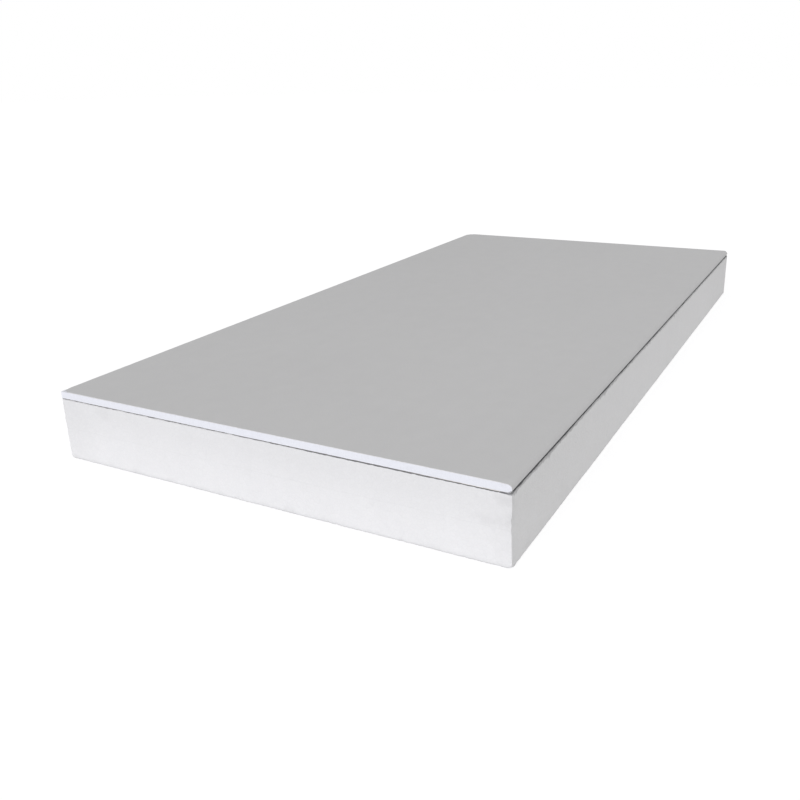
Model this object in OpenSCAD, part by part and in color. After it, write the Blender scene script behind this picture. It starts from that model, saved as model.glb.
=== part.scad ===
// Insulated drywall panel: a paper-faced gypsum board glued to a slab of white polystyrene foam.
// It lies flat, foam down. X runs across the panel, Y along it and Z up through its thickness.
// The origin is on the floor, under the middle of the panel.
// The long edge at +X is the factory edge, rounded and bound in paper. The other three edges are sawn.

/* [Panel] */
// Length of the panel
panel_length = 1200; // [600:50:3000]
// Width of the panel
panel_width = 600; // [400:50:1250]

/* [Gypsum board] */
// Thickness of the board with both papers
board_thickness = 9.5; // [8:0.5:18]
// Thickness of each paper
paper_thickness = 0.4; // [0.2:0.1:0.6]
// Radius of the bound edge where it turns down from the face
face_edge_radius = 4.9; // [3:0.1:8]
// Radius of the bound edge where it turns in under the back
back_edge_radius = 4; // [1:0.1:5]
// Distance from the bound edge to the edge of the back paper
back_paper_margin = 12; // [6:1:20]
// Width over which the back paper laps the folded face paper
paper_lap = 18; // [8:1:40]

/* [Adhesive] */
// Thickness of the adhesive between the board and the foam
adhesive_thickness = 0.5; // [0.3:0.1:2]
// Distance that the adhesive stays back from the edges of the foam
adhesive_setback = 0.2; // [0.1:0.1:20]

/* [Insulation] */
// Thickness of the foam slab
insulation_thickness = 80; // [20:10:160]

/* [Hidden] */
$fn = 64;

// Least height of the upright band between the two curves of the bound edge
edge_band = 0.2;
// How far a cutting shape runs past what it cuts
cut_past = 1;

// Levels, upwards from the floor
back_level = insulation_thickness + adhesive_thickness;
fold_level = back_level + paper_thickness;
face_level = back_level + board_thickness;

// Places across the panel, from the sawn edge to the bound edge
sawn_edge = -panel_width / 2;
bound_edge = panel_width / 2;
back_paper_edge = bound_edge - back_paper_margin;
fold_end = back_paper_edge - paper_lap;

// The curves of the bound edge share the height of that edge
edge_height = face_level - fold_level;
back_radius = min(back_edge_radius, (edge_height - edge_band) / 2);
face_radius = min(face_edge_radius, edge_height - edge_band - back_radius);

// Runs a section, drawn with X across and Y up, along a length of the panel
module run(length) {
    rotate([90, 0, 0])
        linear_extrude(length, center = true)
            children();
}

// A rectangle between two places across the panel and two levels
module band(from, to, bottom, top) {
    translate([from, bottom])
        square([to - from, top - bottom]);
}

// What a radius takes off the upper right corner of a square, with the centre of the radius at the origin
module corner_waste(radius) {
    difference() {
        square(radius + cut_past);
        circle(radius);
    }
}

// The section of the board above its back paper, taken in by an inset along the face and the bound edge
module bound_section(inset) {
    difference() {
        band(sawn_edge, bound_edge - inset, fold_level, face_level - inset);
        translate([bound_edge - face_radius, face_level - face_radius])
            corner_waste(face_radius - inset);
        translate([bound_edge - back_radius, fold_level + back_radius])
            mirror([0, 1])
                corner_waste(back_radius - inset);
    }
}

// The section of the gypsum, with a rebate underneath that takes the folded paper
module core_section() {
    difference() {
        bound_section(paper_thickness);
        band(fold_end, bound_edge, fold_level - cut_past, fold_level + paper_thickness);
    }
}

// Grey paper over the face, round the bound edge and folded in under the back
module face_paper() {
    color([0.73, 0.73, 0.74])
        run(panel_length)
            difference() {
                bound_section(0);
                core_section();
            }
}

// White gypsum, bare on the three sawn edges
module gypsum_core() {
    color([0.93, 0.93, 0.94])
        run(panel_length)
            core_section();
}

// Paper over the back, lapping the fold of the face paper and short of the bound edge
module back_paper() {
    color([0.62, 0.60, 0.57])
        run(panel_length)
            band(sawn_edge, back_paper_edge, back_level, fold_level);
}

// Dark adhesive that holds the board on the foam, spread almost to the edges
module adhesive_layer() {
    color([0.36, 0.36, 0.36])
        run(panel_length - 2 * adhesive_setback)
            band(
                sawn_edge + adhesive_setback,
                bound_edge - adhesive_setback,
                insulation_thickness,
                back_level
            );
}

// Square-edged slab of white polystyrene foam
module insulation_board() {
    color([0.95, 0.95, 0.95])
        run(panel_length)
            band(sawn_edge, bound_edge, 0, insulation_thickness);
}

face_paper();
gypsum_core();
back_paper();
adhesive_layer();
insulation_board();
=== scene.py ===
"""An insulated drywall panel: grey paper round a gypsum core, glued to a slab of white polystyrene foam.

The measured solids are loaded first. Each piece is then modelled at its place and finished, and the stage
is set last. X runs across the panel to its bound edge, Y along it away from the near end, and Z up to the
paper face.
"""

import math
from contextlib import contextmanager

import bmesh
import bpy
from bpy.props import FloatProperty, FloatVectorProperty, IntProperty, PointerProperty
from mathutils import Matrix, Vector, noise


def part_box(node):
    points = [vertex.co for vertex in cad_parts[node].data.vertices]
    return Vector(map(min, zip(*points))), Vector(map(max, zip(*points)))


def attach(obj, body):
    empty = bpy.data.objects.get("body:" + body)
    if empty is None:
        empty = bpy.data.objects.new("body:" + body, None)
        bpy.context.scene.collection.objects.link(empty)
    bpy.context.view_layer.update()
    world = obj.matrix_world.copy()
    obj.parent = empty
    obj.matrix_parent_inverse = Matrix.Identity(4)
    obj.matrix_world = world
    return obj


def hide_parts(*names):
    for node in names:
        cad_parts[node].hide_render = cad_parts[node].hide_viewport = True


bl_info = {
    "name": "Insulated Drywall Panel",
    "version": (1, 0, 0),
    "blender": (4, 5, 0),
    "location": "View3D > Sidebar > Drywall",
    "description": "Models and finishes a drywall panel with a foam back",
    "category": "Object",
}

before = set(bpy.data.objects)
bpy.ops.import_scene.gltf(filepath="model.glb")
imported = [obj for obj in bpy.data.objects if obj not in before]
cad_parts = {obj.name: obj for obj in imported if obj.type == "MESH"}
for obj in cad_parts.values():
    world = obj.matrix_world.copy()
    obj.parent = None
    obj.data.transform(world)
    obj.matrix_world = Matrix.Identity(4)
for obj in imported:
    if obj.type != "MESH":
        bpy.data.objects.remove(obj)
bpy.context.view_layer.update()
BODY = "root"

FACE_LOW, FACE_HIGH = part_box("face_paper")
CORE_LOW, CORE_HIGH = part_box("gypsum_core")
BACK_LOW, BACK_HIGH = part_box("back_paper")
GLUE_LOW, GLUE_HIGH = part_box("adhesive_layer")
FOAM_LOW, FOAM_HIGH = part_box("insulation_board")
# Thickness of both papers
PAPER = BACK_HIGH.z - BACK_LOW.z

X, Y, Z = range(3)
MM = 0.001
# Lengths are told apart to this many decimals of a metre
DECIMALS = 5
TINY = 10 ** -DECIMALS
# Least share of an edge that lies along the axis it runs along
STRAIGHT = 0.999
# Most cuts that one subdivide call makes
MOST_CUTS = 100
# Cuts through each face of the grid along the rim of a sheet, and on the sawn sides of the core
RIM_CUTS = 5
SAWN_CUTS = 3
# Flat steps round the two curves of the bound edge
FACE_STEPS = 8
BACK_STEPS = 6
# Edges that turn further than these angles stay sharp
PAPER_CREASE = math.radians(30)
FOAM_CREASE = math.radians(50)
# The middle of the noise, and what makes its swing of about a quarter each way a whole one
NOISE_MIDDLE = 0.5
NOISE_LIFT = 4
WHITE = (1, 1, 1, 1)
# Width of the camera's sensor in millimetres, and of the floor in metres
SENSOR = 36
FLOOR = 60


# Settings


def length(name, description, default):
    """A length that a user can change."""
    return FloatProperty(name=name, description=description, default=default, min=0, subtype="DISTANCE")


def angle(name, description, degrees):
    """An angle that a user can change."""
    turn = math.radians(degrees)
    return FloatProperty(name=name, description=description, default=turn, subtype="ANGLE")


def color(name, description, default):
    """A colour that a user can change."""
    return FloatVectorProperty(
        name=name, description=description, default=default, min=0, max=1, subtype="COLOR"
    )


def place(name, description, default):
    """A place that a user can change."""
    return FloatVectorProperty(
        name=name, description=description, default=default, unit="LENGTH", subtype="TRANSLATION"
    )


def factor(name, description, default):
    """A share from 0 to 1 that a user can change."""
    return FloatProperty(
        name=name, description=description, default=default, min=0, max=1, subtype="FACTOR"
    )


def level(name, description, default):
    """A plain number that a user can change."""
    return FloatProperty(name=name, description=description, default=default)


class PaperSettings(bpy.types.PropertyGroup):
    """The two papers of the board"""

    face_color: color("Face colour", "Colour of the paper on the face", (0.612, 0.609, 0.608))
    back_color: color("Back colour", "Colour of the paper on the back", (0.22, 0.21, 0.195))
    face_radius: length("Face radius", "Radius of the bound edge where the paper turns down", 4.9 * MM)
    back_radius: length("Back radius", "Radius of the bound edge where it turns in under", 4.0 * MM)
    fold: length("Fold", "Width of the paper that is folded in under the back", 30 * MM)
    fray: length("Fray", "How far the sawn edges of the face paper wander", 0.9 * MM)
    back_fray: length("Back fray", "How far the sawn edges of the back paper wander", 0.4 * MM)
    fray_size: length("Fray size", "Length of the waves along a sawn edge of the paper", 6 * MM)
    bare_rim: length("Bare rim", "Width of the white fibres along a sawn edge of the face", 0.5 * MM)
    bare_lift: level("Bare lift", "How much lighter these fibres are than the face", 1.25)
    dust_lift: level("Dust lift", "How much lighter the dust on the sawn ends is than the back", 3.6)
    grid: length("Grid", "Spacing of the points over the paper", 24 * MM)


class CoreSettings(bpy.types.PropertyGroup):
    """The gypsum core"""

    color: color("Colour", "Colour of the bare gypsum", (0.778, 0.787, 0.83))
    crumble: length("Crumble", "Depth of the bites out of a sawn face", 0.5 * MM)
    crumble_size: length("Crumble size", "Width of the bites along a sawn face", 4 * MM)
    grid: length("Grid", "Spacing of the points along the core", 12 * MM)
    layer: length("Layer", "Spacing of the points through the core", 3 * MM)


class AdhesiveSettings(bpy.types.PropertyGroup):
    """The adhesive between the board and the foam"""

    # The adhesive's dark colour is partly its own and partly painted shade in the seam between the board and
    # the foam
    color: color("Colour", "Colour of the dried adhesive", (0.15, 0.15, 0.155))
    wander: length("Wander", "How far the edge of the adhesive draws back", 1.4 * MM)
    wander_size: length("Wander size", "Length of the waves along the edge of the adhesive", 12 * MM)
    # The skirt that runs down carries the dark adhesive, partly as painted shade in the seam
    squeeze: length("Squeeze", "How far the adhesive runs down over the worn edge of the foam", 1.6 * MM)
    grid: length("Grid", "Spacing of the points over the adhesive", 24 * MM)


class FoamSettings(bpy.types.PropertyGroup):
    """The polystyrene slab"""

    color: color("Colour", "Colour of the clean foam", (0.80, 0.796, 0.797))
    bead: length("Bead", "Width of one bead of the foam", 4.5 * MM)
    arris: length("Arris", "Width of the softened edges", 0.4 * MM)
    top_arris: length("Top arris", "Width of the softened edges under the board", 1 * MM)
    foot_arris: length("Foot arris", "Width of the rubbed edges at the foot of the two ends", 1.2 * MM)
    wear: length("Wear", "Depth of the nicks along an edge", 1.2 * MM)
    wear_patch: length("Wear patch", "Length of a worn stretch of edge", 45 * MM)
    wave: length("Wave", "Depth of the waves that the hot wire left", 0.5 * MM)
    wave_size: length("Wave size", "Length of the waves that the hot wire left", 90 * MM)
    pass_level: length("Pass level", "Height of the line between two passes of the hot wire", 42.6 * MM)
    grid: length("Grid", "Spacing of the points over the top of the slab", 10 * MM)
    side_cuts: IntProperty(
        name="Side cuts", description="Cuts through each face of the grid on the sides", default=2, min=1
    )


class StageSettings(bpy.types.PropertyGroup):
    """The camera, the lamps and the floor"""

    camera_place: place("Camera place", "Where the camera stands", (0.55993, -1.25082, 0.44273))
    azimuth: angle("Azimuth", "How far the camera is turned to the right of the near end", 28.155)
    elevation: angle("Elevation", "How far the camera looks down", 18.985)
    roll: angle("Roll", "How far the camera leans", -1.344)
    lens: FloatProperty(
        name="Lens",
        description="Focal length of the camera in millimetres",
        default=37.848,
        min=1,
        subtype="DISTANCE_CAMERA",
    )
    shift_x: level("Shift across", "Sideways shift of the lens", -0.0312)
    shift_y: level("Shift up", "Upward shift of the lens", -0.0368)
    key_place: place("Key place", "Where the soft key light comes from", (0.2, -2.8, 0.8))
    key_level: level("Key level", "Level of the key light on a face that is square to it", 0.464)
    key_color: color("Key colour", "Colour of the key light", (0.94, 0.945, 1))
    key_spread: angle("Key spread", "Angle over which the key light is spread", 40)
    ambient: level("Ambient", "Level of the light from all round", 0.65)
    floor_tone: factor("Floor tone", "Share of the light that the floor gives back to the panel", 0.88)
    floor_shade: factor("Floor shade", "How strongly shadows show on the floor", 0.4)
    floor_glow: factor("Floor glow", "White that is added to the floor as the camera sees it", 0.72)


# Modelling by hand


def select_only(piece):
    """Makes a piece the one selected and active object."""
    bpy.ops.object.select_all(action="DESELECT")
    piece.select_set(True)
    bpy.context.view_layer.objects.active = piece


@contextmanager
def editing(piece):
    """Edit mode on a piece."""
    select_only(piece)
    bpy.ops.object.mode_set(mode="EDIT")
    yield
    bpy.ops.object.mode_set(mode="OBJECT")


def pick(piece, kind, test):
    """Selects the vertices, edges or faces that pass a test, and nothing else."""
    bpy.ops.mesh.select_mode(type=kind)
    bpy.ops.mesh.select_all(action="DESELECT")
    shape = bmesh.from_edit_mesh(piece.data)
    items = {"VERT": shape.verts, "EDGE": shape.edges, "FACE": shape.faces}[kind]
    for item in [item for item in items if test(item)]:
        item.select_set(True)
    shape.select_flush_mode()
    bmesh.update_edit_mesh(piece.data)


def middle(item):
    """The middle of an edge or face."""
    corners = [vertex.co for vertex in item.verts]
    return sum(corners, Vector()) / len(corners)


def runs_along(edge, axis):
    """Whether an edge runs along an axis."""
    run = edge.verts[1].co - edge.verts[0].co
    return abs(run[axis]) > STRAIGHT * run.length


def sides_met(point, low, high, within):
    """How many pairs of sides of a box a point lies on, or within a distance of."""
    return sum(min(point[axis] - low[axis], high[axis] - point[axis]) < within for axis in (X, Y, Z))


def name_piece(name):
    """Names the piece that was just added."""
    piece = bpy.context.object
    piece.name = name
    piece.data.name = name
    return piece


def add_block(name, low, high):
    """A box between two corners, with its place in its mesh."""
    bpy.ops.object.select_all(action="DESELECT")
    bpy.ops.mesh.primitive_cube_add(size=1, location=(low + high) / 2)
    bpy.context.object.scale = high - low
    bpy.ops.object.transform_apply(location=True, rotation=False, scale=True)
    return name_piece(name)


def add_sheet(name, low, high):
    """The top face of a box between two corners, with its place in its mesh."""
    bpy.ops.object.select_all(action="DESELECT")
    centre = (low + high) / 2
    bpy.ops.mesh.primitive_plane_add(size=1, location=(centre.x, centre.y, high.z))
    bpy.context.object.scale = (high.x - low.x, high.y - low.y, 1)
    bpy.ops.object.transform_apply(location=True, rotation=False, scale=True)
    return name_piece(name)


def divide(piece, axis, spacing):
    """Cuts the edges along an axis into lengths of about a spacing."""
    shape = bmesh.from_edit_mesh(piece.data)
    lengths = {round(edge.calc_length(), DECIMALS) for edge in shape.edges if runs_along(edge, axis)}
    for long in sorted(lengths, reverse=True):
        parts = round(long / spacing)
        while parts > 1:
            pick(piece, "EDGE", lambda e: runs_along(e, axis) and abs(e.calc_length() - long) < TINY)
            cuts = parts - 1 if parts <= MOST_CUTS else 1
            bpy.ops.mesh.subdivide(number_cuts=cuts)
            long /= cuts + 1
            parts = round(parts / (cuts + 1))


def refine(piece, cuts, test):
    """Cuts the faces that pass a test into smaller ones."""
    pick(piece, "FACE", test)
    bpy.ops.mesh.subdivide(number_cuts=cuts)


def split_odd_faces(piece):
    """Cuts the faces that have more than four corners into triangles, while they are still flat."""
    pick(piece, "FACE", lambda f: len(f.verts) > 4)
    bpy.ops.mesh.quads_convert_to_tris(ngon_method="BEAUTY")


def cut_across(across):
    """Cuts right through the piece that is being edited, square to X."""
    bpy.ops.mesh.select_all(action="SELECT")
    bpy.ops.mesh.bisect(plane_co=(across, 0, 0), plane_no=(1, 0, 0))


def press(piece, spot, push, reach):
    """Pushes a piece at a spot, and less and less out to a reach."""
    with editing(piece):
        shape = bmesh.from_edit_mesh(piece.data)
        nearest = min(shape.verts, key=lambda v: (v.co - spot).length).index
        pick(piece, "VERT", lambda v: v.index == nearest)
        bpy.ops.transform.translate(
            value=push,
            use_proportional_edit=True,
            proportional_edit_falloff="SMOOTH",
            proportional_size=reach,
        )


def gather(piece, name, share):
    """A vertex group weighted by each point's place. No share leaves a point out."""
    group = piece.vertex_groups.new(name=name)
    for vertex in piece.data.vertices:
        weight = float(share(vertex.co))
        if weight > 0:
            group.add([vertex.index], weight, "REPLACE")
    return name


def all_of_it(point):
    """The full share, at every point."""
    return 1


def apply(piece, modifier):
    """Makes a modifier part of the mesh."""
    select_only(piece)
    bpy.ops.object.modifier_apply(modifier=modifier.name)


def texture(name, kind, size):
    """A texture with features of a size."""
    pattern = bpy.data.textures.new(name, kind)
    pattern.noise_scale = size
    return pattern


def displace(piece, group, pattern, depth, mid_level=0.5, direction="NORMAL"):
    """Moves the points of a group by a texture, inwards only where the mid level is 1."""
    modifier = piece.modifiers.new(pattern.name, "DISPLACE")
    modifier.texture = pattern
    modifier.texture_coords = "LOCAL"
    modifier.strength = depth
    modifier.mid_level = mid_level
    modifier.direction = direction
    modifier.vertex_group = group
    apply(piece, modifier)


def wander_rim(piece, low, high, pattern, depth, shares, mid_level=0.5):
    """Moves the outer edges of a sheet in its own plane, in from the sides where the mid level is 0.

    The shares say for each side that moves how much of the depth a point takes.
    """
    rims = {
        "near": ("Y", 1, lambda p: p.y < low.y + TINY),
        "far": ("Y", -1, lambda p: p.y > high.y - TINY),
        "left": ("X", 1, lambda p: p.x < low.x + TINY),
        "right": ("X", -1, lambda p: p.x > high.x - TINY),
    }
    for side, share in shares.items():
        on_rim = rims[side][2]
        gather(piece, side, lambda p: on_rim(p) and share(p))
    for side in shares:
        direction, sign, _ = rims[side]
        displace(piece, side, pattern, sign * depth, mid_level, direction)


def thicken(sheet, thickness):
    """Gives a sheet its thickness, inwards from its outer face."""
    shell = sheet.modifiers.new("Thickness", "SOLIDIFY")
    shell.thickness = thickness
    shell.offset = -1
    apply(sheet, shell)


def smooth(piece, crease):
    """Shades a piece smooth, apart from the edges that turn further than an angle."""
    select_only(piece)
    bpy.ops.object.shade_smooth_by_angle(angle=crease)


def dress(piece, material, slot, *nodes):
    """Gives a piece its material and its body, and hides the solids that it stands for."""
    piece.data.materials.clear()
    piece.data.materials.append(material)
    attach(piece, BODY)
    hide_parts(*nodes)


# Shaders


def add_node(tree, kind, values=None, **settings):
    """A shader node with its settings, and its inputs set to values or joined to sockets."""
    node = tree.nodes.new("ShaderNode" + kind)
    for name, setting in settings.items():
        setattr(node, name, setting)
    for name, value in (values or {}).items():
        if isinstance(value, bpy.types.NodeSocket):
            tree.links.new(value, node.inputs[name])
        else:
            node.inputs[name].default_value = value
    return node


def calc(tree, operation, *values):
    """The result of one sum."""
    return add_node(tree, "Math", dict(enumerate(values)), operation=operation).outputs[0]


def product(tree, first, *others):
    """All tones multiplied."""
    for other in others:
        first = calc(tree, "MULTIPLY", first, other)
    return first


def ramp(tree, value, start, end, before, after):
    """A smooth step from one tone to another as a value goes from start to end."""
    values = {"Value": value, "From Min": start, "From Max": end, "To Min": before, "To Max": after}
    return add_node(tree, "MapRange", values, interpolation_type="SMOOTHSTEP").outputs["Result"]


def each_way(size):
    """The same size along all three axes."""
    return (size, size, size)


def new_group(name, inputs):
    """An empty node group with inputs and one output called Tone, its inner inputs and its output."""
    group = bpy.data.node_groups.new(name, "ShaderNodeTree")
    for socket, kind in inputs.items():
        group.interface.new_socket(name=socket, in_out="INPUT", socket_type="NodeSocket" + kind)
    group.interface.new_socket(name="Tone", in_out="OUTPUT", socket_type="NodeSocketFloat")
    inner = group.nodes.new("NodeGroupInput").outputs
    return group, inner, group.nodes.new("NodeGroupOutput").inputs["Tone"]


def uneven_group():
    """A tone about 1 that wanders over the surface, stretched along each axis."""
    name = "Uneven tone"
    if name in bpy.data.node_groups:
        return bpy.data.node_groups[name]
    group, inner, tone = new_group(name, {"Vector": "Vector", "Stretch": "Vector", "Depth": "Float"})
    spot = add_node(group, "VectorMath", {0: inner["Vector"], 1: inner["Stretch"]}, operation="MULTIPLY")
    cloud = add_node(group, "TexNoise", {"Vector": spot.outputs[0], "Scale": 1, "Detail": 3})
    swing = calc(group, "SUBTRACT", cloud.outputs["Fac"], NOISE_MIDDLE)
    deep = calc(group, "MULTIPLY", swing, inner["Depth"])
    group.links.new(calc(group, "MULTIPLY_ADD", deep, NOISE_LIFT, 1), tone)
    return group


def smudge_group():
    """A tone that falls in a soft, ragged spot."""
    name = "Smudge"
    if name in bpy.data.node_groups:
        return bpy.data.node_groups[name]
    kinds = {"Vector": "Vector", "Spot": "Vector", "Reach": "Vector", "Depth": "Float"}
    group, inner, tone = new_group(name, kinds)
    away = add_node(group, "VectorMath", {0: inner["Vector"], 1: inner["Spot"]}, operation="SUBTRACT")
    share = add_node(group, "VectorMath", {0: away.outputs[0], 1: inner["Reach"]}, operation="DIVIDE")
    far = add_node(group, "VectorMath", {0: share.outputs[0]}, operation="LENGTH").outputs["Value"]
    cloud = add_node(group, "TexNoise", {"Vector": inner["Vector"], "Scale": 90, "Detail": 2})
    ragged = calc(group, "ADD", far, calc(group, "SUBTRACT", cloud.outputs["Fac"], NOISE_MIDDLE))
    mask = ramp(group, ragged, start=0.1, end=1, before=1, after=0)
    dark = calc(group, "MULTIPLY", mask, inner["Depth"])
    group.links.new(calc(group, "SUBTRACT", 1, dark), tone)
    return group


def uneven(tree, spot, size, depth):
    """A tone about 1 that wanders over lengths along the three axes."""
    values = {"Vector": spot, "Stretch": [1 / each for each in size], "Depth": depth}
    return add_node(tree, "Group", values, node_tree=uneven_group()).outputs["Tone"]


def smudge(tree, spot, centre, reach, depth):
    """A tone that falls round a centre, out to a reach along the three axes. Below 0, the depth lifts it."""
    values = {"Vector": spot, "Spot": centre, "Reach": reach, "Depth": depth}
    return add_node(tree, "Group", values, node_tree=smudge_group()).outputs["Tone"]


def new_material(name, roughness, gloss):
    """A matt material, its node tree, its shader and the place on the piece."""
    material = bpy.data.materials.new(name)
    material.use_nodes = True
    tree = material.node_tree
    shader = tree.nodes["Principled BSDF"]
    shader.inputs["Roughness"].default_value = roughness
    shader.inputs["Specular IOR Level"].default_value = gloss
    return material, tree, shader, add_node(tree, "TexCoord").outputs["Object"]


def split_axes(tree, spot):
    """The place on the piece along each axis."""
    return add_node(tree, "SeparateXYZ", {0: spot}).outputs


def near_ends(tree, axes, high, depth):
    """1 within a depth of either end of a piece, and 0 between."""
    return calc(tree, "GREATER_THAN", calc(tree, "ABSOLUTE", axes["Y"]), high.y - depth)


def paint(tree, shader, base, *tones):
    """Colours a shader by a base colour times all tones."""
    scaled = add_node(tree, "VectorMath", {0: base, "Scale": product(tree, *tones)}, operation="SCALE")
    tree.links.new(scaled.outputs[0], shader.inputs["Base Color"])


def emboss(tree, shader, height, depth):
    """Gives a shader fine relief."""
    bump = add_node(tree, "Bump", {"Height": height, "Strength": 0.5, "Distance": depth})
    tree.links.new(bump.outputs["Normal"], shader.inputs["Normal"])


# Paper, gypsum and adhesive


def sawn_rim(tree, spot, axes, width, lift):
    """A tone that lifts in a ragged rim along the three sawn edges of the board's face."""
    to_end = calc(tree, "SUBTRACT", FACE_HIGH.y, calc(tree, "ABSOLUTE", axes["Y"]))
    to_side = calc(tree, "SUBTRACT", axes["X"], FACE_LOW.x)
    ragged = uneven(tree, spot, each_way(4 * MM), depth=0.4)
    # The rim is widest at the sawn side
    spread = ramp(tree, axes["X"], start=FACE_LOW.x, end=0, before=0.3, after=1)
    inside = product(tree, calc(tree, "MINIMUM", to_end, to_side), ragged, spread)
    below = calc(tree, "SUBTRACT", (FACE_LOW.z + FACE_HIGH.z) / 2, axes["Z"])
    off_rim = calc(tree, "ADD", inside, calc(tree, "MAXIMUM", below, 0))
    return ramp(tree, off_rim, start=width / 2, end=width, before=lift, after=1)


def gypsum_dust(tree, spot, axes, lift):
    """A tone that lifts in patches on the sawn ends of the back paper, most towards the bound side."""
    at_end = near_ends(tree, axes, BACK_HIGH, 1 * MM)
    ragged = uneven(tree, spot, each_way(9 * MM), depth=0.25)
    towards = ramp(tree, axes["X"], start=165 * MM, end=255 * MM, before=0, after=1)
    return calc(tree, "MULTIPLY_ADD", product(tree, at_end, ragged, towards), lift - 1, 1)


def paper_material(name, base, sawn_tone):
    """Paper with fibres along the board and faint patches, and a tone of its own where it is sawn."""
    material, tree, shader, spot = new_material(name, roughness=0.9, gloss=0.1)
    axes = split_axes(tree, spot)
    tones = (
        # Wide patches, small blotches, streaks from the rollers and single fibres
        uneven(tree, spot, (130 * MM, 220 * MM, 130 * MM), depth=0.008),
        uneven(tree, spot, (22 * MM, 30 * MM, 22 * MM), depth=0.011),
        uneven(tree, spot, (20 * MM, 900 * MM, 20 * MM), depth=0.003),
        uneven(tree, spot, (0.6 * MM, 3 * MM, 0.6 * MM), depth=0.025),
        # Painted light: the paper is a little lighter towards the bound edge and the near end, where more
        # light falls on it
        ramp(tree, axes["X"], start=FACE_LOW.x, end=FACE_HIGH.x, before=0.985, after=1.013),
        ramp(tree, axes["Y"], start=FACE_LOW.y, end=FACE_HIGH.y, before=1.015, after=0.982),
        sawn_tone(tree, spot, axes),
    )
    paint(tree, shader, base, *tones)
    nap = uneven(tree, spot, (0.5 * MM, 2 * MM, 0.5 * MM), depth=0.5)
    emboss(tree, shader, nap, depth=0.08 * MM)
    return material


def face_material(settings):
    """Grey paper with bare white fibres along its sawn edges."""

    def bare_fibres(tree, spot, axes):
        return sawn_rim(tree, spot, axes, settings.bare_rim, settings.bare_lift)

    return paper_material("Grey face paper", settings.face_color, bare_fibres)


def back_material(settings):
    """Brown paper with gypsum dust on its sawn ends."""

    def dusty_ends(tree, spot, axes):
        return gypsum_dust(tree, spot, axes, settings.dust_lift)

    return paper_material("Brown back paper", settings.back_color, dusty_ends)


def gypsum_material(base):
    """Sawn gypsum with fine pores and a few saw marks."""
    material, tree, shader, spot = new_material("Bare gypsum", roughness=0.9, gloss=0.2)
    pores = add_node(tree, "TexVoronoi", {"Vector": spot, "Scale": 1 / (1.8 * MM)}).outputs["Distance"]
    tones = (
        # Patches, upright saw marks, grain and dark pores
        uneven(tree, spot, each_way(14 * MM), depth=0.012),
        uneven(tree, spot, (1.5 * MM, 1.5 * MM, 12 * MM), depth=0.02),
        uneven(tree, spot, each_way(0.5 * MM), depth=0.04),
        ramp(tree, pores, start=0.05, end=0.2, before=0.8, after=1),
    )
    paint(tree, shader, base, *tones)
    ridges = uneven(tree, spot, (0.7 * MM, 0.7 * MM, 3 * MM), depth=0.4)
    pits = ramp(tree, pores, start=0, end=0.3, before=0.5, after=1)
    emboss(tree, shader, product(tree, ridges, pits), depth=0.2 * MM)
    return material


def adhesive_material(base):
    """Dried adhesive with an uneven skin, whose dark colour is partly painted seam shade, made lighter at
    the near corner by the bound edge.
    """
    material, tree, shader, spot = new_material("Dried adhesive", roughness=0.6, gloss=0.3)
    corner = (GLUE_HIGH.x, GLUE_LOW.y, GLUE_LOW.z)
    skin = uneven(tree, spot, each_way(9 * MM), depth=0.2)
    # This lift is no dust: it paints the adhesive lighter at the near corner by the bound edge, taking off
    # some of the painted seam shade
    dust = smudge(tree, spot, corner, each_way(9 * MM), depth=-1.2)
    paint(tree, shader, base, skin, dust)
    emboss(tree, shader, uneven(tree, spot, each_way(2 * MM), depth=0.5), depth=0.3 * MM)
    return material


# Foam


# Grey smudges on the near end of the foam: place across, height, reach across, reach up and depth
SMUDGES = (
    (-290 * MM, 36 * MM, 60 * MM, 60 * MM, 0.035),
    (-231 * MM, 69 * MM, 20 * MM, 13 * MM, 0.035),
    (292 * MM, 72 * MM, 14 * MM, 9 * MM, 0.075),
    (278 * MM, 48 * MM, 26 * MM, 9 * MM, 0.05),
    (298 * MM, 54 * MM, 8 * MM, 16 * MM, 0.05),
    (305 * MM, 40 * MM, 40 * MM, 80 * MM, 0.03),
)
# How far a smudge reaches along the slab from its end
SMUDGE_REACH = 12 * MM
# On the underside the dirt lies in a rim ten times as wide as the painted contact shade is high at the sides
UNDERSIDE_SHARE = 0.1


def floor_dirt_and_contact_shade(tree, spot, axes, at_end):
    """A tone that falls in patches along the edges that stand on the floor, higher up on the ends: dirt
    round the underside, and painted contact shade low on the sides and ends.
    """
    from_side = calc(tree, "SUBTRACT", FOAM_HIGH.x, calc(tree, "ABSOLUTE", axes["X"]))
    from_end = calc(tree, "SUBTRACT", FOAM_HIGH.y, calc(tree, "ABSOLUTE", axes["Y"]))
    inside = product(tree, calc(tree, "MINIMUM", from_side, from_end), UNDERSIDE_SHARE)
    ragged = uneven(tree, spot, (25 * MM, 25 * MM, 1000 * MM), depth=0.7)
    height = product(tree, axes["Z"], ragged)
    # Painted contact shade along the foot of each end
    painted_contact_shade = ramp(tree, height, start=0, end=6 * MM, before=0.1, after=0)
    band = calc(tree, "MULTIPLY", at_end, painted_contact_shade)
    off_rim = calc(tree, "MAXIMUM", height, inside)
    # Dirt round the rim of the underside, and painted contact shade along the foot of every side
    rim = ramp(tree, off_rim, start=0.4 * MM, end=1.4 * MM, before=0.8, after=1)
    return product(tree, calc(tree, "SUBTRACT", 1, band), rim)


def glue_smear_and_overhang_shade(tree, spot, axes):
    """A tone that falls in patches close under the bound edge of the board: partly smeared glue, partly
    painted shade under the board's overhang.
    """
    ragged = uneven(tree, spot, (9 * MM, 9 * MM, 1000 * MM), depth=0.7)
    down = product(tree, calc(tree, "SUBTRACT", FOAM_HIGH.z, axes["Z"]), ragged)
    inside = calc(tree, "MAXIMUM", calc(tree, "SUBTRACT", FOAM_HIGH.x, axes["X"]), down)
    return ramp(tree, inside, start=0.8 * MM, end=3 * MM, before=0.66, after=1)


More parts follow.
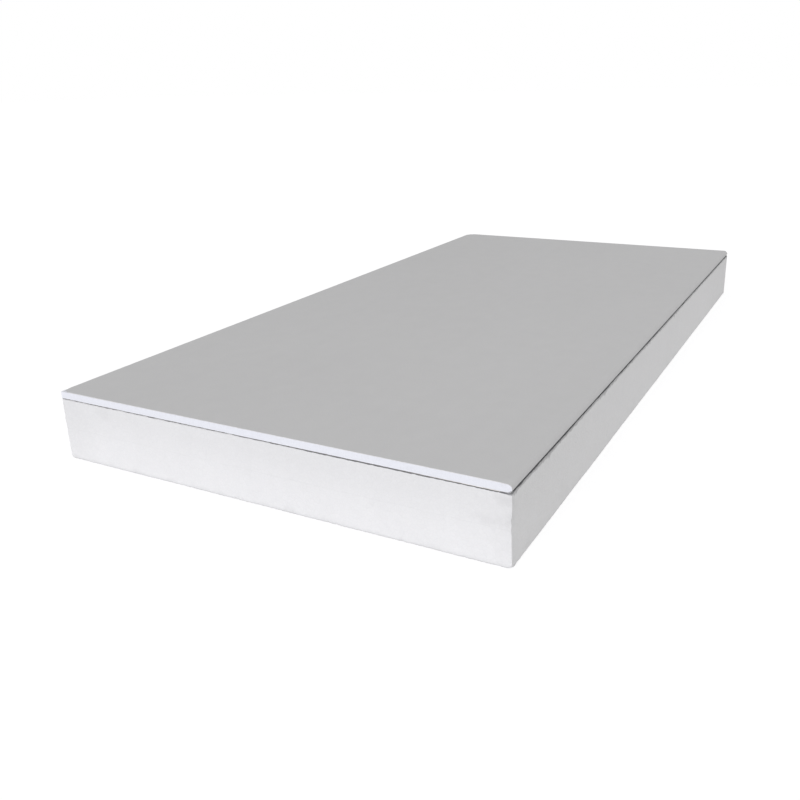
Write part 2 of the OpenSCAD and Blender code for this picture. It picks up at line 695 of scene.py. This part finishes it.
def wire_pass(tree, spot, axes, at_end, height):
    """A tone that falls on the upper half of an end and along the faint line between two wire passes."""
    grey = ramp(tree, axes["Z"], start=25 * MM, end=76 * MM, before=0, after=0.03)
    swing = uneven(tree, spot, (40 * MM, 40 * MM, 1000 * MM), depth=1)
    wobble = calc(tree, "MULTIPLY", swing, 1.2 * MM)
    above = calc(tree, "SUBTRACT", calc(tree, "ADD", axes["Z"], wobble), height)
    line = ramp(tree, calc(tree, "ABSOLUTE", above), start=0, end=1.2 * MM, before=0.02, after=0)
    dark = calc(tree, "MULTIPLY", at_end, calc(tree, "ADD", grey, line))
    return calc(tree, "SUBTRACT", 1, dark)


def foam_material(settings):
    """White beads pressed together, with grey smudges and a faint line from the hot wire on the ends."""
    material, tree, shader, spot = new_material("White polystyrene foam", roughness=0.7, gloss=0.2)
    axes = split_axes(tree, spot)
    beads = {"Vector": spot, "Scale": 1 / settings.bead}
    cells = add_node(tree, "TexVoronoi", beads).outputs["Color"]
    shade = add_node(tree, "SeparateColor", {0: cells}).outputs[0]
    edges = add_node(tree, "TexVoronoi", beads, feature="DISTANCE_TO_EDGE").outputs["Distance"]
    at_end = near_ends(tree, axes, FOAM_HIGH, 2 * MM)
    tones = [
        uneven(tree, spot, each_way(70 * MM), depth=0.008),
        uneven(tree, spot, (18 * MM, 22 * MM, 300 * MM), depth=0.008),
        # Each bead has a shade of its own and a darker edge
        ramp(tree, shade, start=0, end=1, before=0.992, after=1.006),
        ramp(tree, edges, start=0, end=0.08, before=0.97, after=1),
        # Painted light: the slab is lighter towards its foot, against the shade near the floor, and darker
        # towards its far end, where the light falls off
        ramp(tree, axes["Z"], start=10 * MM, end=76 * MM, before=1, after=0.965),
        ramp(tree, axes["Y"], start=FOAM_HIGH.y / 2, end=FOAM_HIGH.y, before=1, after=0.95),
        floor_dirt_and_contact_shade(tree, spot, axes, at_end),
        glue_smear_and_overhang_shade(tree, spot, axes),
    ]
    for across, height, reach, rise, depth in SMUDGES:
        centre = (across, FOAM_LOW.y, height)
        tones.append(smudge(tree, spot, centre, (reach, SMUDGE_REACH, rise), depth))
    tones.append(wire_pass(tree, spot, axes, at_end, settings.pass_level))
    paint(tree, shader, settings.color, *tones)
    grain = uneven(tree, spot, each_way(0.8 * MM), depth=0.3)
    swell = ramp(tree, edges, start=0, end=0.25, before=0, after=0.8)
    emboss(tree, shader, calc(tree, "ADD", swell, grain), depth=0.25 * MM)
    return material


# Pieces of the board


# Knocked corners of the board: where, how each is pushed in and how far round that reaches
FAR_LEFT = (Vector((FACE_LOW.x, FACE_HIGH.y, FACE_HIGH.z)), (5 * MM, -6 * MM, 0), 16 * MM)
FAR_LEFT_BACK = (Vector((BACK_LOW.x, BACK_HIGH.y, BACK_LOW.z)), (2.2 * MM, -2.6 * MM, 0), 12 * MM)
FAR_BOUND = (Vector((299 * MM, FACE_HIGH.y, 89 * MM)), (-1.2 * MM, -1.5 * MM, 0), 6 * MM)
NEAR_BOUND = (Vector((296 * MM, FACE_LOW.y, FACE_HIGH.z)), (0, 0.3 * MM, -0.6 * MM), 12 * MM)
NEAR_LEFT = (Vector((FACE_LOW.x, FACE_LOW.y, FACE_HIGH.z)), (2.5 * MM, 3.5 * MM, 0), 16 * MM)
NEAR_BOUND_BACK = (Vector((298 * MM, CORE_LOW.y, CORE_LOW.z)), (0, 0.4 * MM, 0.6 * MM), 4 * MM)


def at_sawn_edge(point, within):
    """Whether a place on a paper is near one of the three sawn edges of the board."""
    return abs(point.y) > FACE_HIGH.y - within or point.x < FACE_LOW.x + within


def tear_edges(paper, low, high, depth, size):
    """Frays the three sawn edges of a paper."""
    shares = dict.fromkeys(("near", "far", "left"), all_of_it)
    wander_rim(paper, low, high, texture("Torn paper", "CLOUDS", size), depth, shares)


def wrap_edge(settings):
    """Carries the selected edge of the paper round the bound edge of the board and in under its back."""
    down = (FACE_HIGH.x - settings.face_radius, 0, FACE_HIGH.z - settings.face_radius)
    bpy.ops.mesh.spin(steps=FACE_STEPS, angle=math.pi / 2, center=down, axis=(0, -1, 0))
    band = FACE_HIGH.z - FACE_LOW.z - settings.face_radius - settings.back_radius
    bpy.ops.mesh.extrude_edges_move(TRANSFORM_OT_translate={"value": (0, 0, -band)})
    under = (FACE_HIGH.x - settings.back_radius, 0, FACE_LOW.z + settings.back_radius)
    bpy.ops.mesh.spin(steps=BACK_STEPS, angle=math.pi / 2, center=under, axis=(0, -1, 0))
    inward = settings.back_radius - settings.fold
    bpy.ops.mesh.extrude_edges_move(TRANSFORM_OT_translate={"value": (inward, 0, 0)})


class DRYWALL_OT_face_paper(bpy.types.Operator):
    """Wraps the grey paper over the face and round the bound edge"""

    bl_idname = "drywall.face_paper"
    bl_label = "Face Paper"

    def execute(self, context):
        settings = context.scene.drywall_paper
        turn = FACE_HIGH.x - settings.face_radius
        flat_high = Vector((turn, FACE_HIGH.y, FACE_HIGH.z))
        paper = add_sheet("face_paper_wrap", FACE_LOW, flat_high)
        with editing(paper):
            divide(paper, X, settings.grid)
            divide(paper, Y, settings.grid)
            pick(paper, "EDGE", lambda e: middle(e).x > turn - TINY)
            wrap_edge(settings)
            bpy.ops.mesh.select_all(action="SELECT")
            bpy.ops.mesh.remove_doubles(threshold=TINY)
            bpy.ops.mesh.normals_make_consistent(inside=False)
            refine(paper, RIM_CUTS, lambda f: at_sawn_edge(middle(f), settings.grid))
            split_odd_faces(paper)
        tear_edges(paper, FACE_LOW, FACE_HIGH, settings.fray, settings.fray_size)
        thicken(paper, PAPER)
        for corner in (FAR_LEFT, FAR_BOUND, NEAR_BOUND, NEAR_LEFT):
            press(paper, *corner)
        smooth(paper, PAPER_CREASE)
        dress(paper, face_material(settings), "face_paper", "face_paper")
        return {"FINISHED"}


def on_sawn_side(point):
    """Whether a place is on one of the three sawn sides of the core."""
    return abs(point.y) > CORE_HIGH.y - TINY or point.x < CORE_LOW.x + TINY


def round_bound_edge(core, paper):
    """Rounds the edge of the core that the paper wraps, and sinks its back where the paper folds under."""
    fold = FACE_HIGH.x - paper.fold
    cut_across(fold)
    cut_across(fold + PAPER / 2)
    pick(core, "VERT", lambda v: v.co.x > fold + TINY and v.co.z < CORE_LOW.z + TINY)
    bpy.ops.transform.translate(value=(0, 0, PAPER))
    side = CORE_HIGH.x - TINY
    for height, radius, steps in (
        (CORE_HIGH.z, paper.face_radius - PAPER, FACE_STEPS),
        (CORE_LOW.z + PAPER, paper.back_radius - PAPER, BACK_STEPS),
    ):
        pick(core, "EDGE", lambda e: middle(e).x > side and abs(middle(e).z - height) < TINY)
        bpy.ops.mesh.bevel(offset=radius, segments=steps, affect="EDGES")
    cut_across(FACE_HIGH.x - paper.face_radius)


class DRYWALL_OT_gypsum_core(bpy.types.Operator):
    """Models the gypsum core with its bound edge and its sawn edges"""

    bl_idname = "drywall.gypsum_core"
    bl_label = "Gypsum Core"

    def execute(self, context):
        settings = context.scene.drywall_core
        core = add_block("gypsum_core_sawn", CORE_LOW, CORE_HIGH)
        with editing(core):
            round_bound_edge(core, context.scene.drywall_paper)
            divide(core, X, settings.grid)
            divide(core, Y, settings.grid)
            divide(core, Z, settings.layer)
            refine(core, SAWN_CUTS, lambda f: on_sawn_side(middle(f)))
            split_odd_faces(core)
        sawn = gather(core, "sawn", on_sawn_side)
        bites = texture("Gypsum bites", "CLOUDS", settings.crumble_size)
        displace(core, sawn, bites, settings.crumble, mid_level=0.6)
        for corner in (FAR_LEFT, FAR_BOUND, NEAR_BOUND, NEAR_BOUND_BACK):
            press(core, *corner)
        dress(core, gypsum_material(settings.color), "gypsum", "gypsum_core")
        return {"FINISHED"}


class DRYWALL_OT_back_paper(bpy.types.Operator):
    """Lays the brown paper on the back of the board"""

    bl_idname = "drywall.back_paper"
    bl_label = "Back Paper"

    def execute(self, context):
        settings = context.scene.drywall_paper
        paper = add_sheet("back_paper_sheet", BACK_LOW, BACK_HIGH)
        with editing(paper):
            divide(paper, X, settings.grid)
            divide(paper, Y, settings.grid)
            refine(paper, RIM_CUTS, lambda f: at_sawn_edge(middle(f), settings.grid))
        tear_edges(paper, BACK_LOW, BACK_HIGH, settings.back_fray, settings.fray_size)
        thicken(paper, PAPER)
        press(paper, *FAR_LEFT_BACK)
        dress(paper, back_material(settings), "back_paper", "back_paper")
        return {"FINISHED"}


# Adhesive and foam pieces


# Share of the wander at the middle of an end, its fall from there to the bound side, and its limits
MIDDLE_DRAW = 0.75
DRAW_FALL = 1.9
LEAST_DRAW = 0.1
MOST_DRAW = 0.9


def end_share(point):
    """How much the adhesive draws back along an end, less and less towards the bound side."""
    draw = MIDDLE_DRAW - DRAW_FALL * point.x / GLUE_HIGH.x
    return max(LEAST_DRAW, min(MOST_DRAW, draw))


class DRYWALL_OT_adhesive(bpy.types.Operator):
    """Spreads the adhesive between the board and the foam"""

    bl_idname = "drywall.adhesive"
    bl_label = "Adhesive"

    def execute(self, context):
        settings = context.scene.drywall_adhesive
        film = add_sheet("adhesive_film", GLUE_LOW, GLUE_HIGH)
        with editing(film):
            divide(film, X, settings.grid)
            divide(film, Y, settings.grid)
            refine(film, RIM_CUTS, lambda f: sides_met(middle(f), GLUE_LOW, GLUE_HIGH, settings.grid) > 1)
        waves = texture("Adhesive edge", "CLOUDS", settings.wander_size)
        shares = {"near": end_share, "far": end_share, "left": all_of_it, "right": all_of_it}
        wander_rim(film, GLUE_LOW, GLUE_HIGH, waves, settings.wander, shares, mid_level=0)
        with editing(film):
            # The dark skirt over the foam's worn edge is partly painted shade in the seam
            pick(film, "EDGE", lambda e: e.is_boundary)
            down = (0, 0, -settings.squeeze)
            bpy.ops.mesh.extrude_edges_move(TRANSFORM_OT_translate={"value": down})
        thicken(film, GLUE_HIGH.z - GLUE_LOW.z)
        press(film, *FAR_LEFT_BACK)
        dress(film, adhesive_material(settings.color), "adhesive", "adhesive_layer")
        return {"FINISHED"}


# Crushed and swollen places of the foam: where, how it is pushed and how far round that reaches
CRUSHED = (
    ((FOAM_HIGH.x, FOAM_LOW.y, FOAM_LOW.z), (-0.3 * MM, 0.6 * MM, 1.7 * MM), 6 * MM),
    ((FOAM_LOW.x, FOAM_LOW.y, FOAM_LOW.z), (0.5 * MM, 0.5 * MM, 0.6 * MM), 4 * MM),
    ((FOAM_HIGH.x, FOAM_LOW.y, FOAM_HIGH.z), (-0.6 * MM, 0.6 * MM, -1.2 * MM), 9 * MM),
    ((FOAM_HIGH.x, FOAM_LOW.y, 52 * MM), (-1.2 * MM, 0.5 * MM, 0), 5 * MM),
    ((FOAM_HIGH.x, FOAM_LOW.y, 42 * MM), (-0.8 * MM, 0.2 * MM, 0), 9 * MM),
    ((286 * MM, FOAM_LOW.y, 4.8 * MM), (0, 1 * MM, 0), 5 * MM),
    ((FOAM_HIGH.x, FOAM_LOW.y, 8 * MM), (0.6 * MM, 0, 0), 20 * MM),
    ((FOAM_LOW.x, FOAM_LOW.y, 67 * MM), (-0.5 * MM, 0, 0), 7 * MM),
    ((FOAM_LOW.x, FOAM_LOW.y, 50 * MM), (-0.5 * MM, 0, 0), 7 * MM),
    ((FOAM_LOW.x, FOAM_LOW.y, 34 * MM), (-0.5 * MM, 0, 0), 7 * MM),
    ((FOAM_LOW.x, FOAM_LOW.y, 17 * MM), (-0.7 * MM, 0, 0), 8 * MM),
)
# A face whose normal rises less than this stands upright
UPRIGHT = 0.5
# Share of the wear that the least worn stretch of edge takes
LEAST_WEAR = 0.45


def at_arris(point, within):
    """Whether a point lies within a distance of two sides of the slab."""
    return sides_met(point, FOAM_LOW, FOAM_HIGH, within) > 1


def at_foot(point):
    """Whether a point lies at the foot of one of the slab's ends."""
    return point.z < FOAM_LOW.z + TINY and abs(point.y) > FOAM_HIGH.y - TINY


def at_top(point):
    """Whether a point lies on the top of the slab."""
    return point.z > FOAM_HIGH.z - TINY


def below_top(point):
    """Whether a point lies lower than the top of the slab."""
    return not at_top(point)


def on_side(face):
    """Whether a face of the slab stands upright."""
    return abs(face.normal.z) < UPRIGHT


def depth_in(point):
    """How far a point lies in from the nearest upright side of the slab."""
    return min(FOAM_HIGH.x - abs(point.x), FOAM_HIGH.y - abs(point.y))


def wear_share(point, patch):
    """How worn an edge of the slab is at a point, in stretches of a length."""
    return LEAST_WEAR + (1 - LEAST_WEAR) * max(0, noise.noise(point / patch))


def soften_edges(slab, settings):
    """Takes the sharpness off the slab's edges, first at the foot of its ends and last round its top."""
    for test, width, steps in (
        (at_foot, settings.foot_arris, 2),
        (below_top, settings.arris, 2),
        (at_top, settings.top_arris, 1),
    ):
        pick(slab, "EDGE", lambda e: at_arris(middle(e), TINY) and test(middle(e)))
        bpy.ops.mesh.bevel(offset=width, segments=steps, affect="EDGES")


def wear_slab(slab, settings):
    """Leaves hot-wire waves on the sides, nicks along the edges, and crushed and swollen places."""
    waves = texture("Hot wire waves", "CLOUDS", settings.wave_size)
    beads = texture("Lost beads", "VORONOI", settings.bead)
    skin = settings.arris + TINY
    rubbed = settings.foot_arris + TINY
    sides = gather(slab, "sides", lambda p: depth_in(p) < skin)
    arrises = gather(slab, "arrises", lambda p: at_arris(p, rubbed) and wear_share(p, settings.wear_patch))
    displace(slab, sides, waves, settings.wave)
    displace(slab, arrises, beads, settings.wear, mid_level=0.65)
    for spot, push, reach in CRUSHED:
        press(slab, Vector(spot), push, reach)
    with editing(slab):
        # The underside stays flat on the floor
        pick(slab, "VERT", lambda v: v.co.z < FOAM_LOW.z)
        bpy.ops.transform.resize(value=(1, 1, 0), center_override=FOAM_LOW)


class DRYWALL_OT_foam_slab(bpy.types.Operator):
    """Models the polystyrene slab with its softened, worn edges"""

    bl_idname = "drywall.foam_slab"
    bl_label = "Foam Slab"

    def execute(self, context):
        settings = context.scene.drywall_foam
        slab = add_block("foam_slab", FOAM_LOW, FOAM_HIGH)
        fine = settings.grid / (settings.side_cuts + 1)
        with editing(slab):
            for axis in (X, Y, Z):
                divide(slab, axis, settings.grid)
            refine(slab, settings.side_cuts, lambda f: on_side(f) or at_arris(middle(f), settings.grid))
            refine(slab, 1, lambda f: at_arris(middle(f), fine))
            soften_edges(slab, settings)
            split_odd_faces(slab)
        wear_slab(slab, settings)
        smooth(slab, FOAM_CREASE)
        dress(slab, foam_material(settings), "polystyrene_foam", "insulation_board")
        return {"FINISHED"}


# Stage


def set_camera(settings):
    """Places the camera by its place, its two angles and its lean."""
    bpy.ops.object.camera_add()
    camera = bpy.context.object
    camera.name = "camera"
    camera.data.sensor_width = SENSOR
    camera.data.lens = settings.lens
    camera.data.shift_x = settings.shift_x
    camera.data.shift_y = settings.shift_y
    out = math.cos(settings.elevation)
    across, along = math.cos(settings.azimuth), math.sin(settings.azimuth)
    back = Vector((along * out, -across * out, math.sin(settings.elevation)))
    right = Vector((across, along, 0))
    lean = Matrix.Rotation(settings.roll, 3, back)
    turn = Matrix((lean @ right, lean @ back.cross(right), back)).transposed()
    camera.matrix_world = Matrix.Translation(settings.camera_place) @ turn.to_4x4()
    bpy.context.scene.camera = camera


def set_key(settings):
    """A soft key light from in front of the near end."""
    bpy.ops.object.light_add(type="SUN", location=settings.key_place)
    lamp = bpy.context.object
    lamp.name = "soft_key"
    lamp.data.angle = settings.key_spread
    lamp.data.energy = settings.key_level * math.pi
    lamp.data.color = settings.key_color
    lamp.rotation_mode = "QUATERNION"
    lamp.rotation_quaternion = lamp.location.to_track_quat("Z", "Y")


def seen_directly(tree):
    """1 for what the camera sees, straight on or in a mirror or glass."""
    path = add_node(tree, "LightPath").outputs
    mirrored = calc(tree, "MAXIMUM", path["Is Camera Ray"], path["Is Glossy Ray"])
    return calc(tree, "MAXIMUM", mirrored, path["Is Transmission Ray"])


def set_world(settings):
    """Light from all round, and a white background."""
    world = bpy.data.worlds.new("Studio")
    bpy.context.scene.world = world
    world.use_nodes = True
    tree = world.node_tree
    tree.nodes.clear()
    around = add_node(tree, "Background", {"Color": WHITE, "Strength": settings.ambient}).outputs[0]
    white = add_node(tree, "Background", {"Color": WHITE, "Strength": 1}).outputs[0]
    both = add_node(tree, "MixShader", {0: seen_directly(tree), 1: around, 2: white})
    add_node(tree, "OutputWorld", {"Surface": both.outputs[0]})


def set_floor(settings):
    """A wide floor that looks white and keeps the shadow."""
    bpy.ops.object.select_all(action="DESELECT")
    bpy.ops.mesh.primitive_plane_add(size=FLOOR)
    floor = name_piece("floor")
    material = bpy.data.materials.new("Pale floor")
    material.use_nodes = True
    tree = material.node_tree
    tree.nodes.clear()
    seen = seen_directly(tree)
    fall = settings.floor_shade - settings.floor_tone
    tone = calc(tree, "MULTIPLY_ADD", seen, fall, settings.floor_tone)
    glow = calc(tree, "MULTIPLY", seen, settings.floor_glow)
    matt = add_node(tree, "BsdfDiffuse", {"Color": tone}).outputs[0]
    white = add_node(tree, "Emission", {"Color": WHITE, "Strength": glow}).outputs[0]
    both = add_node(tree, "AddShader", {0: matt, 1: white})
    add_node(tree, "OutputMaterial", {"Surface": both.outputs[0]})
    floor.data.materials.append(material)


class DRYWALL_OT_stage(bpy.types.Operator):
    """Sets the camera, the lamps and the floor"""

    bl_idname = "drywall.stage"
    bl_label = "Stage"

    def execute(self, context):
        settings = context.scene.drywall_stage
        set_camera(settings)
        set_key(settings)
        set_world(settings)
        set_floor(settings)
        context.scene.view_settings.view_transform = "Standard"
        return {"FINISHED"}


# Sidebar and registration


class DRYWALL_PT_panel(bpy.types.Panel):
    """Lists the pieces of the panel, the stage and their settings"""

    bl_idname = "DRYWALL_PT_panel"
    bl_label = "Drywall Panel"
    bl_space_type = "VIEW_3D"
    bl_region_type = "UI"
    bl_category = "Drywall"

    def draw(self, context):
        for operator in OPERATORS:
            self.layout.operator(operator.bl_idname)
        for name, group in SETTINGS.items():
            box = self.layout.box()
            box.label(text=group.__doc__)
            for setting in group.__annotations__:
                box.prop(getattr(context.scene, name), setting)


SETTINGS = {
    "drywall_paper": PaperSettings,
    "drywall_core": CoreSettings,
    "drywall_adhesive": AdhesiveSettings,
    "drywall_foam": FoamSettings,
    "drywall_stage": StageSettings,
}
OPERATORS = (
    DRYWALL_OT_face_paper,
    DRYWALL_OT_gypsum_core,
    DRYWALL_OT_back_paper,
    DRYWALL_OT_adhesive,
    DRYWALL_OT_foam_slab,
    DRYWALL_OT_stage,
)
CLASSES = (*SETTINGS.values(), *OPERATORS, DRYWALL_PT_panel)


def register():
    for cls in CLASSES:
        bpy.utils.register_class(cls)
    for name, group in SETTINGS.items():
        setattr(bpy.types.Scene, name, PointerProperty(type=group))


def unregister():
    for name in SETTINGS:
        delattr(bpy.types.Scene, name)
    for cls in reversed(CLASSES):
        bpy.utils.unregister_class(cls)


def main():
    register()
    bpy.ops.drywall.face_paper()
    bpy.ops.drywall.gypsum_core()
    bpy.ops.drywall.back_paper()
    bpy.ops.drywall.adhesive()
    bpy.ops.drywall.foam_slab()
    bpy.ops.drywall.stage()


if __name__ == "__main__":
    main()
